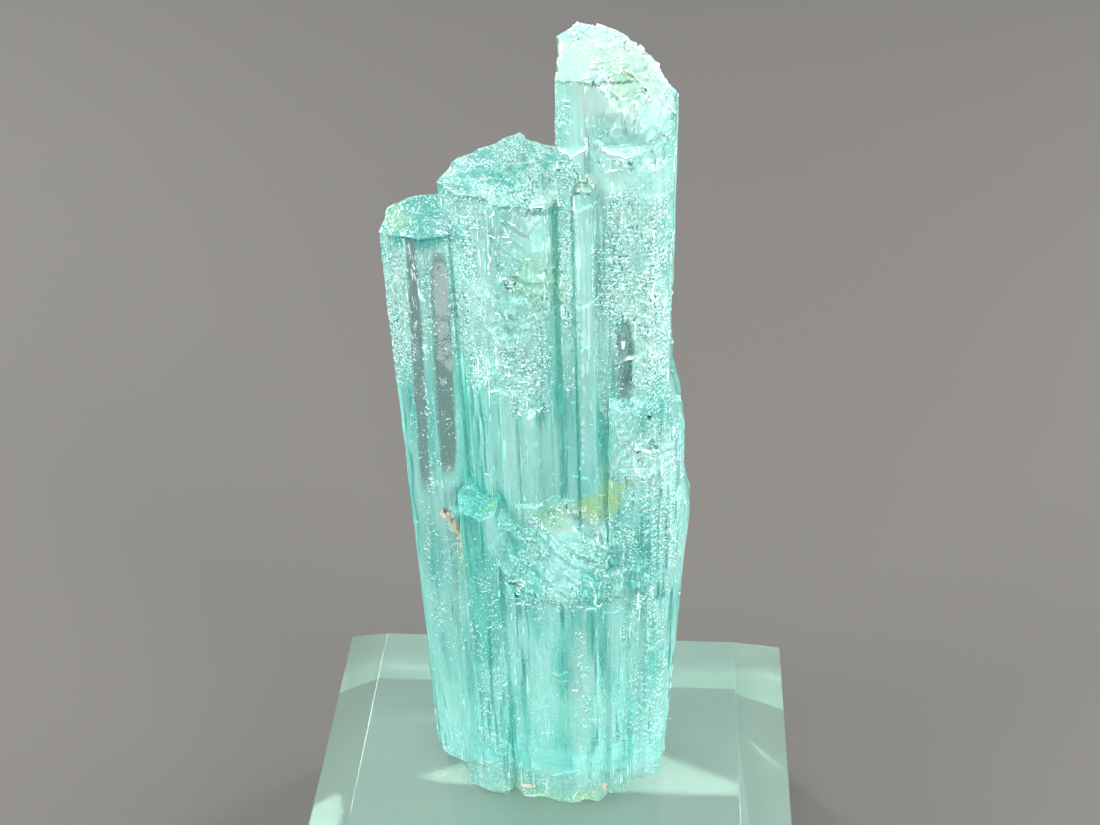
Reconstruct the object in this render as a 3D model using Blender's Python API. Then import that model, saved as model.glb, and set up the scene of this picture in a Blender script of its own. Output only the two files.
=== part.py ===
"""A group of aquamarine crystals, grown side by side as one piece, on a bevelled clear block.

The frame is +Z up, with +Y away from the viewer of the usual front view. The origin is the
middle of the block's underside. Sizes below are in millimetres, and meshes are in metres.
"""

import math
import random
from dataclasses import dataclass

import bmesh
import bpy
from mathutils import Vector, noise
from mathutils.geometry import delaunay_2d_cdt

MM = 0.001

# The display block: a square plate of clear acrylic whose top edges are cut back.
BLOCK_WIDTH = 38.0
BLOCK_HEIGHT = 20.0
BEVEL_WIDTH = 4.3
BEVEL_DROP = 5.0
BLOCK_CORNERS = ((-1, -1), (1, -1), (1, 1), (-1, 1))

# The crystals stand this far above the block, and heights below are measured from there.
REST_GAP = 0.3
REST = BLOCK_HEIGHT + REST_GAP

# Growth steps along a prism's sides: their width, their depth and the width of a riser.
TERRACE_WIDTH = 0.8
TERRACE_DEPTH = 0.16
RISER_WIDTH = 0.07

# Fracture relief: how fast it varies over a broken surface, per millimetre.
FRACTURE_RATE = 0.75
FRACTURE_DETAIL = 2.3
FOOT_GRAIN = 1.3
FOOT_RELIEF = 0.28


@dataclass(frozen=True)
class EndFace:
    """One plane of a crystal's upper end: its height at (x, y), its two slopes and its relief."""

    height: float
    x: float = 0.0
    y: float = 0.0
    slope_x: float = 0.0
    slope_y: float = 0.0
    relief: float = 0.05

    def height_at(self, x, y):
        """The plane's height over (x, y), with its relief."""
        flat = self.height + (x - self.x) * self.slope_x + (y - self.y) * self.slope_y
        return flat + self.relief * fracture_noise(x, y, self.height)


@dataclass(frozen=True)
class Crystal:
    """One prism of the group: its outline seen from above, its foot and its end faces."""

    name: str
    corners: tuple
    ends: tuple
    foot: float = 0.0
    lean: tuple = (0.0, 0.0)
    terrace: float = TERRACE_WIDTH
    depth: float = TERRACE_DEPTH
    grain: float = 1.0


@dataclass(frozen=True)
class Chip:
    """A shell-shaped break: an ellipsoid cut out of the group, with ripples about one point."""

    centre: tuple
    radii: tuple
    ripple: float = 0.0
    rings: float = 9.0
    turn: float = 0.0


# The three crystals that stand out of the group, from the left.
LEFT = Crystal(
    "left",
    (
        (-8.45, 1.5), (-7.5, 0.75), (-5.9, 0.0), (-4.3, 0.35), (-3.7, 1.5),
        (-4.0, 3.6), (-5.5, 5.4), (-7.3, 5.1), (-8.35, 3.9),
    ),
    (
        EndFace(47.7, -6.0, 2.8, slope_x=0.02, slope_y=-0.02, relief=0.08),
        EndFace(47.7, -7.3, 1.8, slope_x=0.25, slope_y=0.12, relief=0.1),
    ),
    foot=1.0,
    terrace=0.95,
    depth=0.1,
    grain=1.1,
)
MIDDLE = Crystal(
    "middle",
    (
        (-4.7, 1.2), (-3.5, -0.1), (-0.9, -1.15), (1.9, -0.5),
        (3.0, 1.5), (2.6, 4.8), (-0.4, 6.9), (-3.9, 4.6),
    ),
    (
        EndFace(50.9, -1.0, 2.8, slope_x=0.03, relief=0.2),
        EndFace(50.8, 1.2, 0.9, slope_x=-0.22, slope_y=0.35, relief=0.4),
    ),
    foot=0.9,
    grain=0.75,
)
TALL = Crystal(
    "tall",
    (
        (2.1, -0.7), (4.15, -1.1), (7.5, -1.1), (8.6, 0.1), (8.75, 2.6),
        (7.2, 5.0), (5.0, 6.4), (3.1, 6.9), (1.9, 5.0),
    ),
    (
        EndFace(58.1, 3.0, 2.0, relief=0.07),
        EndFace(58.1, 5.1, 4.0, slope_x=-0.56, slope_y=0.04, relief=0.38),
        EndFace(57.2, 6.8, 0.0, slope_x=-1.0, slope_y=1.8, relief=0.4),
    ),
    foot=0.7,
    lean=(0.32, 0.0),
    grain=0.65,
)

# The lower bodies that join them, in front and to the sides.
SIDE_STUB = Crystal(
    "side_stub",
    (
        (-4.8, -0.9), (-4.55, -2.05), (-3.25, -2.75), (-2.35, -2.15),
        (-1.9, -0.3), (-2.6, 0.9), (-4.3, 0.9),
    ),
    (
        EndFace(28.9, -3.4, -0.6, slope_x=-0.1, slope_y=0.25, relief=0.08),
        EndFace(28.9, -2.5, -1.0, slope_x=-0.75, slope_y=0.2, relief=0.05),
    ),
    foot=6.0,
    terrace=0.7,
    grain=0.7,
)
LEFT_FRONT = Crystal(
    "left_front",
    (
        (-6.3, 0.3), (-5.7, -1.1), (-4.4, -1.8), (-2.75, -1.95),
        (-2.1, -0.8), (-2.0, 2.0), (-5.9, 2.2),
    ),
    (EndFace(26.7, -5.0, 0.3, slope_x=-0.6, slope_y=1.6, relief=0.35),),
    lean=(1.0, 0.0),
    grain=0.7,
)
FRONT = Crystal(
    "front",
    (
        (-2.45, -1.3), (-1.6, -2.25), (1.7, -2.6), (4.2, -2.4),
        (4.9, -1.4), (4.9, 1.6), (-2.3, 1.6),
    ),
    (
        EndFace(26.7, 1.8, -0.8, slope_x=0.1, slope_y=3.0, relief=0.3),
        EndFace(27.2, 0.5, -1.2, slope_x=0.25, slope_y=1.0, relief=0.3),
    ),
    lean=(0.0, -0.35),
    terrace=1.1,
    depth=0.1,
    grain=0.45,
)
RIGHT_FRONT = Crystal(
    "right_front",
    ((3.8, -1.6), (5.1, -1.95), (6.6, -1.35), (7.5, -0.3), (7.6, 2.0), (3.9, 2.0)),
    (
        EndFace(29.2, 5.3, -0.6, slope_x=0.2, slope_y=0.5, relief=0.3),
        EndFace(22.6, 5.4, -1.6, slope_x=0.5, slope_y=3.4, relief=0.3),
    ),
    foot=0.35,
    lean=(0.1, -0.3),
    terrace=0.6,
    grain=0.55,
)
RIGHT = Crystal(
    "right",
    ((6.6, -0.9), (8.1, -0.1), (8.95, 1.5), (9.0, 3.6), (7.8, 5.4), (5.5, 5.0), (5.0, 1.0)),
    (
        EndFace(26.3, 8.95, 2.0, slope_x=-3.2, relief=0.15),
        EndFace(28.4, 8.3, 1.0, slope_x=-0.6, slope_y=0.3, relief=0.2),
    ),
    foot=1.1,
    lean=(1.5, 0.0),
    terrace=0.65,
    grain=0.55,
)
UPPER_RIGHT = Crystal(
    "upper_right",
    (
        (5.0, -1.45), (7.0, -1.9), (9.0, -0.7), (9.75, 1.2),
        (9.4, 3.6), (7.4, 5.0), (5.2, 3.5),
    ),
    (
        EndFace(36.9, 6.0, -1.4, slope_x=0.05, slope_y=0.9, relief=0.25),
        EndFace(34.2, 9.6, 1.0, slope_x=-3.2, slope_y=0.1, relief=0.2),
    ),
    foot=20.0,
    lean=(0.15, 0.0),
    grain=0.55,
)

# Narrow columns that stand proud of the big faces, low crystals on the hidden side and a
# small lump of another mineral beside the left crystal.
RIBS = (
    Crystal(
        "mineral_lump",
        ((-6.0, -0.1), (-5.5, -0.55), (-4.95, -0.6), (-4.6, 0.3), (-5.8, 0.6)),
        (
            EndFace(26.9, -5.3, -0.1, slope_x=0.3, slope_y=0.4, relief=0.15),
            EndFace(26.4, -5.8, -0.4, slope_x=1.6, slope_y=0.9, relief=0.1),
        ),
        foot=25.3,
        grain=0.35,
    ),
    Crystal(
        "rib_clear",
        ((3.2, -0.9), (3.35, -1.6), (4.35, -1.65), (4.5, -1.0), (4.3, 0.6), (3.3, 0.6)),
        (EndFace(51.9, 3.9, -1.3, slope_x=0.35, slope_y=0.4, relief=0.06),),
        foot=9.0,
        grain=0.6,
    ),
    Crystal(
        "rib_upper",
        ((2.3, -0.2), (2.4, -1.0), (3.1, -1.3), (3.5, -0.6), (3.3, 0.8), (2.4, 0.8)),
        (EndFace(53.2, 2.8, -0.9, slope_x=0.35, slope_y=0.6, relief=0.12),),
        foot=9.0,
        grain=0.6,
    ),
    Crystal(
        "rib_middle",
        ((-0.6, -0.4), (-0.5, -1.3), (0.35, -1.4), (0.6, -0.9), (0.5, 0.4), (-0.5, 0.4)),
        (EndFace(35.9, 0.0, -1.2, slope_x=-0.3, slope_y=1.2, relief=0.15),),
        foot=9.0,
        grain=0.6,
    ),
    Crystal(
        "rib_left",
        ((-3.6, 0.3), (-3.3, -0.4), (-2.5, -0.8), (-2.2, -0.3), (-2.4, 0.9), (-3.4, 0.9)),
        (EndFace(38.1, -2.9, -0.4, slope_x=0.4, slope_y=1.3, relief=0.1),),
        foot=9.0,
        grain=0.6,
    ),
    Crystal(
        "rib_right",
        ((6.9, -0.6), (7.6, -1.3), (8.5, -0.4), (8.85, 0.9), (8.3, 1.3), (7.2, 0.4)),
        (EndFace(44.9, 8.3, 0.0, slope_x=-0.8, slope_y=0.8, relief=0.15),),
        foot=9.0,
        grain=0.6,
    ),
    Crystal(
        "rib_back",
        ((-3.2, 5.0), (-2.4, 6.4), (-1.2, 6.9), (-0.6, 5.6), (-1.6, 4.2)),
        (EndFace(33.0, -2.0, 5.6, slope_x=0.2, slope_y=-1.0, relief=0.2),),
        foot=2.2,
        grain=0.7,
    ),
    Crystal(
        "back",
        ((0.4, 6.1), (0.9, 7.3), (3.0, 7.9), (4.9, 7.3), (5.4, 5.8), (2.9, 4.6)),
        (EndFace(39.0, 2.9, 6.2, slope_x=0.3, slope_y=-1.1, relief=0.35),),
        foot=0.6,
        grain=0.6,
    ),
    Crystal(
        "back_low",
        ((5.2, 5.2), (5.9, 6.7), (7.6, 6.7), (8.5, 5.3), (8.2, 3.9), (6.2, 3.9)),
        (EndFace(23.5, 6.9, 5.4, slope_x=-0.4, slope_y=-0.9, relief=0.3),),
        foot=1.3,
        grain=0.6,
    ),
    Crystal(
        "back_left",
        ((-6.6, 4.0), (-5.9, 6.0), (-4.2, 6.7), (-2.9, 5.6), (-3.3, 3.7), (-5.0, 3.0)),
        (EndFace(16.5, -4.6, 5.0, slope_x=0.5, slope_y=-0.7, relief=0.3),),
        foot=0.8,
        grain=0.6,
    ),
)

CRYSTALS = (
    LEFT, MIDDLE, TALL, SIDE_STUB, LEFT_FRONT, FRONT, RIGHT_FRONT, RIGHT, UPPER_RIGHT, *RIBS,
)

CHIPS = (
    # The tall crystal: hollows in its broken top, the smooth shell in its face and its tail.
    Chip((6.7, 0.1, 57.7), (1.35, 1.2, 0.95)),
    Chip((8.4, 2.2, 57.6), (1.2, 1.5, 1.0), ripple=0.03),
    Chip((6.3, -3.9, 54.1), (3.7, 3.35, 2.3), ripple=0.012, rings=30.0),
    Chip((5.7, -3.0, 52.7), (1.35, 2.35, 2.3)),
    Chip((9.8, -1.5, 52.2), (1.7, 1.1, 0.6)),
    # Its waist on the right, and the crevice beside the clear column.
    Chip((10.9, 1.2, 41.3), (2.25, 3.6, 6.5), ripple=0.02),
    Chip((9.9, 0.3, 46.2), (1.1, 1.2, 0.9)),
    Chip((6.35, -1.75, 39.6), (0.42, 1.2, 2.9), turn=8.0),
    # The middle crystal's large rippled shells.
    Chip((0.2, -5.2, 46.4), (5.0, 4.65, 7.6), ripple=0.006, rings=60.0),
    Chip((-2.6, -3.9, 42.4), (2.6, 3.45, 4.2), ripple=0.008, rings=40.0),
    # Hollows over and in the broken ledge of the front crystals.
    Chip((5.9, -3.4, 31.3), (2.4, 1.85, 2.2), ripple=0.03),
    Chip((7.9, -2.6, 33.0), (1.6, 1.55, 1.8), ripple=0.03),
    Chip((3.2, -3.9, 25.2), (2.0, 2.0, 2.3), ripple=0.03),
    Chip((0.6, -3.9, 24.2), (1.9, 1.75, 1.9), ripple=0.03),
    Chip((-1.3, -3.6, 22.6), (1.3, 1.45, 1.9), ripple=0.03),
    Chip((5.6, -3.4, 21.0), (1.5, 1.45, 1.5), ripple=0.03),
    # Breaks along the foot.
    Chip((-0.3, -3.6, 0.4), (2.3, 1.45, 1.2)),
    Chip((3.4, -3.5, 0.6), (1.4, 1.45, 1.3)),
    Chip((-2.3, -2.5, -0.2), (0.75, 1.1, 0.9)),
    Chip((7.4, -1.6, 0.3), (1.7, 1.5, 1.1)),
    Chip((10.0, 1.2, 0.2), (1.6, 3.2, 1.6)),
    Chip((-9.6, 2.2, 0.9), (1.7, 2.4, 1.3)),
    # The hidden side.
    Chip((5.8, 8.3, 44.0), (3.0, 2.7, 4.2), ripple=0.015, rings=24.0),
    Chip((-2.2, 8.4, 41.0), (2.6, 2.7, 3.4), ripple=0.015, rings=24.0),
    Chip((2.6, 9.4, 20.0), (2.6, 2.2, 3.0), ripple=0.015, rings=24.0),
)

CHIP_SUBDIVISIONS = 3


def fracture_noise(x, y, z):
    """Relief of a broken surface at a point, about -1 to 1."""
    coarse = noise.noise(Vector((x, y, z)) * FRACTURE_RATE)
    fine = noise.noise(Vector((y, z, x)) * FRACTURE_RATE * FRACTURE_DETAIL)
    return coarse + 0.6 * fine


def terraced(corners, width, depth, chance):
    """The outline with each side broken into growth steps, cut inwards from the corners."""
    points = []
    for (ax, ay), (bx, by) in zip(corners, corners[1:] + corners[:1]):
        length = math.hypot(bx - ax, by - ay)
        along = ((bx - ax) / length, (by - ay) / length)
        inward = (-along[1], along[0])
        count = max(1, round(length / width))
        shares = [chance.uniform(0.45, 1.55) for _ in range(count)]
        reach = 0.0
        for step, share in enumerate(shares):
            start = reach
            reach += share / sum(shares) * length
            outer = step in (0, count - 1)
            cut = 0.0 if outer else chance.uniform(0.25, 1.0) * depth
            ends = (start, reach) if count == 1 else (
                start + (RISER_WIDTH if step else 0.0),
                reach - (RISER_WIDTH if step < count - 1 else length * 0.02),
            )
            for at in ends:
                points.append((ax + along[0] * at + inward[0] * cut, ay + along[1] * at + inward[1] * cut))
    return points


def inside_points(ring, grain, chance):
    """Scattered points inside an outline, about a grain apart and clear of its edge."""
    low_x, high_x = min(x for x, _ in ring), max(x for x, _ in ring)
    low_y, high_y = min(y for _, y in ring), max(y for _, y in ring)
    found = []
    for row in range(int((high_y - low_y) / grain) + 1):
        for column in range(int((high_x - low_x) / grain) + 1):
            x = low_x + (column + 0.5 * (row % 2) + chance.uniform(-0.3, 0.3)) * grain
            y = low_y + (row + chance.uniform(-0.3, 0.3)) * grain
            if encloses(ring, x, y) and edge_distance(ring, x, y) > grain * 0.4:
                found.append((x, y))
    return found


def encloses(ring, x, y):
    """True if the point lies inside the outline."""
    within = False
    for (ax, ay), (bx, by) in zip(ring, ring[1:] + ring[:1]):
        if (ay > y) != (by > y) and x < (bx - ax) * (y - ay) / (by - ay) + ax:
            within = not within
    return within


def edge_distance(ring, x, y):
    """Distance from the point to the outline."""
    nearest = math.inf
    for (ax, ay), (bx, by) in zip(ring, ring[1:] + ring[:1]):
        length_squared = (bx - ax) ** 2 + (by - ay) ** 2
        share = ((x - ax) * (bx - ax) + (y - ay) * (by - ay)) / max(length_squared, 1e-12)
        share = min(1.0, max(0.0, share))
        nearest = min(nearest, math.hypot(x - ax - share * (bx - ax), y - ay - share * (by - ay)))
    return nearest


def cap_triangles(ring, inner):
    """Triangles over an outline and the points inside it, as indices into ring then inner."""
    points = [Vector(point) for point in ring + inner]
    result = delaunay_2d_cdt(points, [], [list(range(len(ring)))], 1, 1e-7)
    faces, sources = result[2], result[3]
    return [[sources[index][0] for index in face] for face in faces]


def crystal_mesh(crystal):
    """A closed prism with stepped sides, a broken foot and the crystal's own end faces."""
    chance = random.Random(crystal.name)
    ring = terraced(list(crystal.corners), crystal.terrace, crystal.depth, chance)
    top_inner = inside_points(ring, crystal.grain, chance)
    foot_inner = inside_points(ring, FOOT_GRAIN, chance)
    middle_height = max(end.height for end in crystal.ends)

    def placed(x, y, height):
        rise = (height - crystal.foot) / (middle_height - crystal.foot)
        across = Vector((x + crystal.lean[0] * rise, y + crystal.lean[1] * rise, REST + height))
        return across * MM

    def top_height(x, y):
        return min(end.height_at(x, y) for end in crystal.ends)

    def foot_height(x, y):
        lift = fracture_noise(x, y, 90.0 + crystal.foot)
        return crystal.foot + FOOT_RELIEF * max(0.0, lift)

    mesh = bmesh.new()
    foot_rim = [mesh.verts.new(placed(x, y, foot_height(x, y))) for x, y in ring]
    top_rim = [mesh.verts.new(placed(x, y, top_height(x, y))) for x, y in ring]
    foot_middle = [mesh.verts.new(placed(x, y, foot_height(x, y))) for x, y in foot_inner]
    top_middle = [mesh.verts.new(placed(x, y, top_height(x, y))) for x, y in top_inner]
    for index in range(len(ring)):
        after = (index + 1) % len(ring)
        mesh.faces.new((foot_rim[index], foot_rim[after], top_rim[after], top_rim[index]))
    for triangle in cap_triangles(ring, top_inner):
        mesh.faces.new([(top_rim + top_middle)[index] for index in triangle])
    for triangle in cap_triangles(ring, foot_inner):
        mesh.faces.new([(foot_rim + foot_middle)[index] for index in reversed(triangle)])
    bmesh.ops.recalc_face_normals(mesh, faces=mesh.faces)
    return mesh


def chip_mesh(chip):
    """A rippled ellipsoid. The ripples run in rings about its lower end, as on a shell."""
    mesh = bmesh.new()
    bmesh.ops.create_icosphere(mesh, subdivisions=CHIP_SUBDIVISIONS, radius=1.0)
    turn = math.radians(chip.turn)
    for vertex in mesh.verts:
        from_pole = math.acos(max(-1.0, min(1.0, -vertex.co.z)))
        swell = 1.0 + chip.ripple * math.sin(from_pole * chip.rings)
        swell += 0.03 * noise.noise(vertex.co * 2.5 + Vector(chip.centre))
        x, y, z = (value * radius * swell for value, radius in zip(vertex.co, chip.radii))
        x, z = x * math.cos(turn) + z * math.sin(turn), z * math.cos(turn) - x * math.sin(turn)
        vertex.co = Vector((chip.centre[0] + x, chip.centre[1] + y, REST + chip.centre[2] + z)) * MM
    return mesh


def block_mesh():
    """The block: a square plate whose four top edges are cut back, with sharp corners."""
    mesh = bmesh.new()
    half = BLOCK_WIDTH / 2
    levels = (
        (half, 0.0),
        (half, BLOCK_HEIGHT - BEVEL_DROP),
        (half - BEVEL_WIDTH, BLOCK_HEIGHT),
    )
    loops = [
        [mesh.verts.new(Vector((x * reach, y * reach, height)) * MM) for x, y in BLOCK_CORNERS]
        for reach, height in levels
    ]
    for lower, upper in zip(loops, loops[1:]):
        for index in range(4):
            after = (index + 1) % 4
            mesh.faces.new((lower[index], lower[after], upper[after], upper[index]))
    mesh.faces.new(reversed(loops[0]))
    mesh.faces.new(loops[-1])
    bmesh.ops.recalc_face_normals(mesh, faces=mesh.faces)
    return mesh


def material(name, colour, roughness, ior):
    """A clear Principled material of one colour."""
    made = bpy.data.materials.new(name)
    made.use_nodes = True
    shader = made.node_tree.nodes["Principled BSDF"]
    shader.inputs["Base Color"].default_value = (*colour, 1.0)
    shader.inputs["Roughness"].default_value = roughness
    shader.inputs["Metallic"].default_value = 0.0
    shader.inputs["IOR"].default_value = ior
    shader.inputs["Transmission Weight"].default_value = 0.8
    return made


def add_object(name, mesh, finish=None):
    """An object with this mesh in the scene, with its finish if it is a part that shows."""
    data = bpy.data.meshes.new(name)
    mesh.to_mesh(data)
    mesh.free()
    made = bpy.data.objects.new(name, data)
    bpy.context.scene.collection.objects.link(made)
    if finish is not None:
        data.materials.append(finish)
    return made


def helper(name, mesh):
    """An object that only joins or cuts another, and isn't part of the model."""
    made = add_object(name, mesh)
    made.hide_render = True
    made.display_type = "WIRE"
    return made


def combine(target, other, operation):
    """Joins the other object to the target, or cuts it out."""
    modifier = target.modifiers.new(other.name, "BOOLEAN")
    modifier.operation = operation
    modifier.solver = "EXACT"
    modifier.object = other


def make_crystals():
    """The whole group as one solid: the prisms joined, then the breaks cut out."""
    first, *others = CRYSTALS
    group = add_object(
        "aquamarine_crystals",
        crystal_mesh(first),
        material("aquamarine", (0.42, 0.85, 0.78), 0.08, 1.577),
    )
    for crystal in others:
        combine(group, helper("growth_" + crystal.name, crystal_mesh(crystal)), "UNION")
    for number, chip in enumerate(CHIPS, start=1):
        combine(group, helper(f"chip_{number:02d}", chip_mesh(chip)), "DIFFERENCE")
    return group


def make_block():
    """The display block under the crystals."""
    return add_object(
        "display_block",
        block_mesh(),
        material("clear_acrylic", (0.86, 0.93, 0.9), 0.03, 1.49),
    )


def main():
    """Clears the scene and builds the two pieces."""
    for old in list(bpy.data.objects):
        bpy.data.objects.remove(old)
    make_block()
    make_crystals()


main()
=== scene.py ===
"""Looks of the aquamarine crystals and their clear display block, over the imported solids.

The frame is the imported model's: metres, +Z up, with the block's underside at z = 0. Sizes in the
classes below are in millimetres and are turned into metres where they are used.
"""

import logging
import math
import random
from dataclasses import dataclass, field
from enum import Enum

import bmesh
import bpy
import numpy as np
from mathutils import Matrix, Vector, noise
from mathutils.bvhtree import BVHTree


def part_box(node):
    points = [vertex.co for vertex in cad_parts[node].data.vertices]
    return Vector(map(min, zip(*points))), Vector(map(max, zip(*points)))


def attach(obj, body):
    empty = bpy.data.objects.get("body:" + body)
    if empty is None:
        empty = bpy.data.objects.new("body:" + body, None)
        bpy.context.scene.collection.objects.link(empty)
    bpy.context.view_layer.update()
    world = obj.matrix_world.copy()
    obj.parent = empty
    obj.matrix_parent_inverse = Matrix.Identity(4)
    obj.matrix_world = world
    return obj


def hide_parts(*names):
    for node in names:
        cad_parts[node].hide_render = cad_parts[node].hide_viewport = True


log = logging.getLogger("crystals")

MM = 0.001
PER_METRE = 1000.0
WEIGHT_STEPS = 31
ZONE_RIM = 0.45
RINGS_PER_UNIT = 20.0
Point = tuple[float, float, float]
Colour = tuple[float, float, float]


class Slot(Enum):
    """Names for the two material slots, which nothing below uses."""

    CRYSTAL = "aquamarine"
    BLOCK = "clear_acrylic"


class Trait(Enum):
    """What is measured at each point of the crystals' surface, as a mesh attribute."""

    BROKEN = "broken"
    STAIN = "stain"
    # Painted light bloom that whitens the upper ends and some patches.
    PALE = "pale"
    SUGAR = "sugar"
    CLEAR = "clear"
    CALM = "calm"
    TONE = "tone"
    DEEP = "deep"


# Modelling helpers.


def pick_nothing() -> None:
    """Leaves edit mode and deselects everything."""
    if bpy.context.mode != "OBJECT":
        bpy.ops.object.mode_set(mode="OBJECT")
    bpy.ops.object.select_all(action="DESELECT")


def pick_only(piece: bpy.types.Object) -> None:
    """Selects one object, makes it the active one and deselects the rest.

    Args:
        piece: The object to work on.
    """
    pick_nothing()
    piece.select_set(True)
    bpy.context.view_layer.objects.active = piece


def merged_copy(node: str, name: str, reach_mm: float = 0.002) -> bpy.types.Object:
    """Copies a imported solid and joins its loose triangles.

    Args:
        node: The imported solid's name.
        name: The copy's name.
        reach_mm: Corners nearer than this become one.

    Returns:
        The copy, with a mesh of its own.
    """
    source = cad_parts[node]
    copy = source.copy()
    copy.data = source.data.copy()
    copy.name = name
    copy.data.name = name
    copy.parent = None
    for key in list(copy.keys()):
        del copy[key]
    bpy.context.scene.collection.objects.link(copy)
    copy.data.materials.clear()
    pick_only(copy)
    bpy.ops.object.mode_set(mode="EDIT")
    bpy.ops.mesh.select_all(action="SELECT")
    bpy.ops.mesh.remove_doubles(threshold=reach_mm * MM)
    bpy.ops.object.mode_set(mode="OBJECT")
    return copy


@dataclass(frozen=True)
class Relief:
    """One layer of surface relief, in millimetres.

    The group names the vertex group that limits it, the grain is the texture's scale along X, Y
    and Z, the height is how far a full step of the texture moves a point, the middle is the
    texture value that stays in place, and the origin is the texture's own.
    """

    group: str
    grain: Point
    height: float
    middle: float = 0.5
    origin: Point = (0.0, 0.0, 0.0)


def apply_displace(piece: bpy.types.Object, texture: bpy.types.Texture, relief: Relief) -> None:
    """Moves a mesh along its normals by a texture, and applies the modifier.

    Args:
        piece: The object whose mesh moves.
        texture: The height.
        relief: How strongly it moves, and where.
    """
    guide = bpy.data.objects.new("guide", None)
    guide.location = Vector(relief.origin) * MM
    guide.scale = [size * MM for size in relief.grain]
    bpy.context.scene.collection.objects.link(guide)
    bpy.context.view_layer.update()
    pick_only(piece)
    modifier = piece.modifiers.new("relief", "DISPLACE")
    modifier.texture = texture
    modifier.texture_coords = "OBJECT"
    modifier.texture_coords_object = guide
    modifier.direction = "NORMAL"
    modifier.mid_level = relief.middle
    modifier.strength = relief.height * MM
    modifier.vertex_group = relief.group
    bpy.ops.object.modifier_apply(modifier=modifier.name)
    bpy.data.objects.remove(guide)


def weigh(piece: bpy.types.Object, name: str, weights: np.ndarray) -> None:
    """Adds a vertex group from an array of weights, in a few steps.

    Args:
        piece: The object that gets the group.
        name: The group's name.
        weights: One value from 0 to 1 for each vertex.
    """
    group = piece.vertex_groups.new(name=name)
    steps = np.round(np.clip(weights, 0.0, 1.0) * WEIGHT_STEPS).astype(int)
    for step in range(1, WEIGHT_STEPS + 1):
        chosen = np.flatnonzero(steps == step)
        if len(chosen):
            group.add(chosen.tolist(), step / WEIGHT_STEPS, "REPLACE")


def noise_texture(name: str, kind: str, **values: float | str) -> bpy.types.Texture:
    """Makes a procedural texture for a Displace modifier.

    Args:
        name: The texture's name.
        kind: Its type, such as CLOUDS.
        **values: Its settings.

    Returns:
        The texture.
    """
    texture = bpy.data.textures.new(name, kind)
    for key, value in values.items():
        setattr(texture, key, value)
    return texture


# Node helpers.


@dataclass
class Tree:
    """A node tree that is built a node at a time."""

    nodes: bpy.types.Nodes
    links: bpy.types.NodeLinks

    def add(self, kind: str, **settings: object) -> bpy.types.Node:
        """Adds a node.

        Args:
            kind: The node's type, without the ShaderNode before it.
            **settings: Its properties.

        Returns:
            The node.
        """
        node = self.nodes.new("ShaderNode" + kind)
        for key, value in settings.items():
            setattr(node, key, value)
        return node

    def feed(self, socket: bpy.types.NodeSocket, value: object) -> None:
        """Links a socket to another, or sets its own value.

        Args:
            socket: The input.
            value: An output socket, a number or a tuple.
        """
        if isinstance(value, bpy.types.NodeSocket):
            self.links.new(value, socket)
        elif isinstance(value, tuple) and len(value) == 3 and socket.type == "RGBA":
            socket.default_value = (*value, 1.0)
        else:
            socket.default_value = value

    def math(self, operation: str, *values: object, clamp: bool = False) -> bpy.types.NodeSocket:
        """Adds a Math node and returns its output."""
        node = self.add("Math", operation=operation, use_clamp=clamp)
        for socket, value in zip(node.inputs, values):
            self.feed(socket, value)
        return node.outputs[0]

    def mix(self, factor: object, first: object, second: object) -> bpy.types.NodeSocket:
        """Mixes two colours and returns the result."""
        node = self.add("Mix", data_type="RGBA")
        self.feed(node.inputs[0], factor)
        self.feed(node.inputs[6], first)
        self.feed(node.inputs[7], second)
        return node.outputs[2]

    def ramp(
        self, value: object, low: float, high: float, to_low: float = 0.0, to_high: float = 1.0
    ) -> bpy.types.NodeSocket:
        """Maps a range of values smoothly to another and returns the result."""
        node = self.add("MapRange", interpolation_type="SMOOTHSTEP")
        for socket, given in zip(node.inputs, (value, low, high, to_low, to_high)):
            self.feed(socket, given)
        return node.outputs[0]

    def noise(
        self, place: object, scale: float, detail: float = 2.0, roughness: float = 0.5
    ) -> bpy.types.NodeSocket:
        """Adds a noise texture and returns its value."""
        node = self.add("TexNoise")
        self.feed(node.inputs["Vector"], place)
        self.feed(node.inputs["Scale"], scale)
        self.feed(node.inputs["Detail"], detail)
        self.feed(node.inputs["Roughness"], roughness)
        return node.outputs[0]

    def stretched(self, place: object, scale: Point) -> bpy.types.NodeSocket:
        """Scales a place and returns it."""
        node = self.add("Mapping")
        self.feed(node.inputs["Vector"], place)
        self.feed(node.inputs["Scale"], scale)
        return node.outputs[0]


def new_group(
    name: str, takes: dict[str, tuple[str, object]], gives: dict[str, str]
) -> tuple[bpy.types.NodeTree, Tree, bpy.types.Node, bpy.types.Node]:
    """Starts a shader node group with named sockets.

    Args:
        name: The group's name.
        takes: For each input, its socket type and value.
        gives: For each output, its socket type.

    Returns:
        The group, its tree helper, its input node and its output node.
    """
    group = bpy.data.node_groups.new(name, "ShaderNodeTree")
    for label, (kind, value) in takes.items():
        socket = group.interface.new_socket(label, in_out="INPUT", socket_type=kind)
        if value is not None:
            socket.default_value = value
    for label, kind in gives.items():
        group.interface.new_socket(label, in_out="OUTPUT", socket_type=kind)
    tree = Tree(group.nodes, group.links)
    return group, tree, group.nodes.new("NodeGroupInput"), group.nodes.new("NodeGroupOutput")


FLOAT, VECTOR, COLOUR = "NodeSocketFloat", "NodeSocketVector", "NodeSocketColor"


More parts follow.
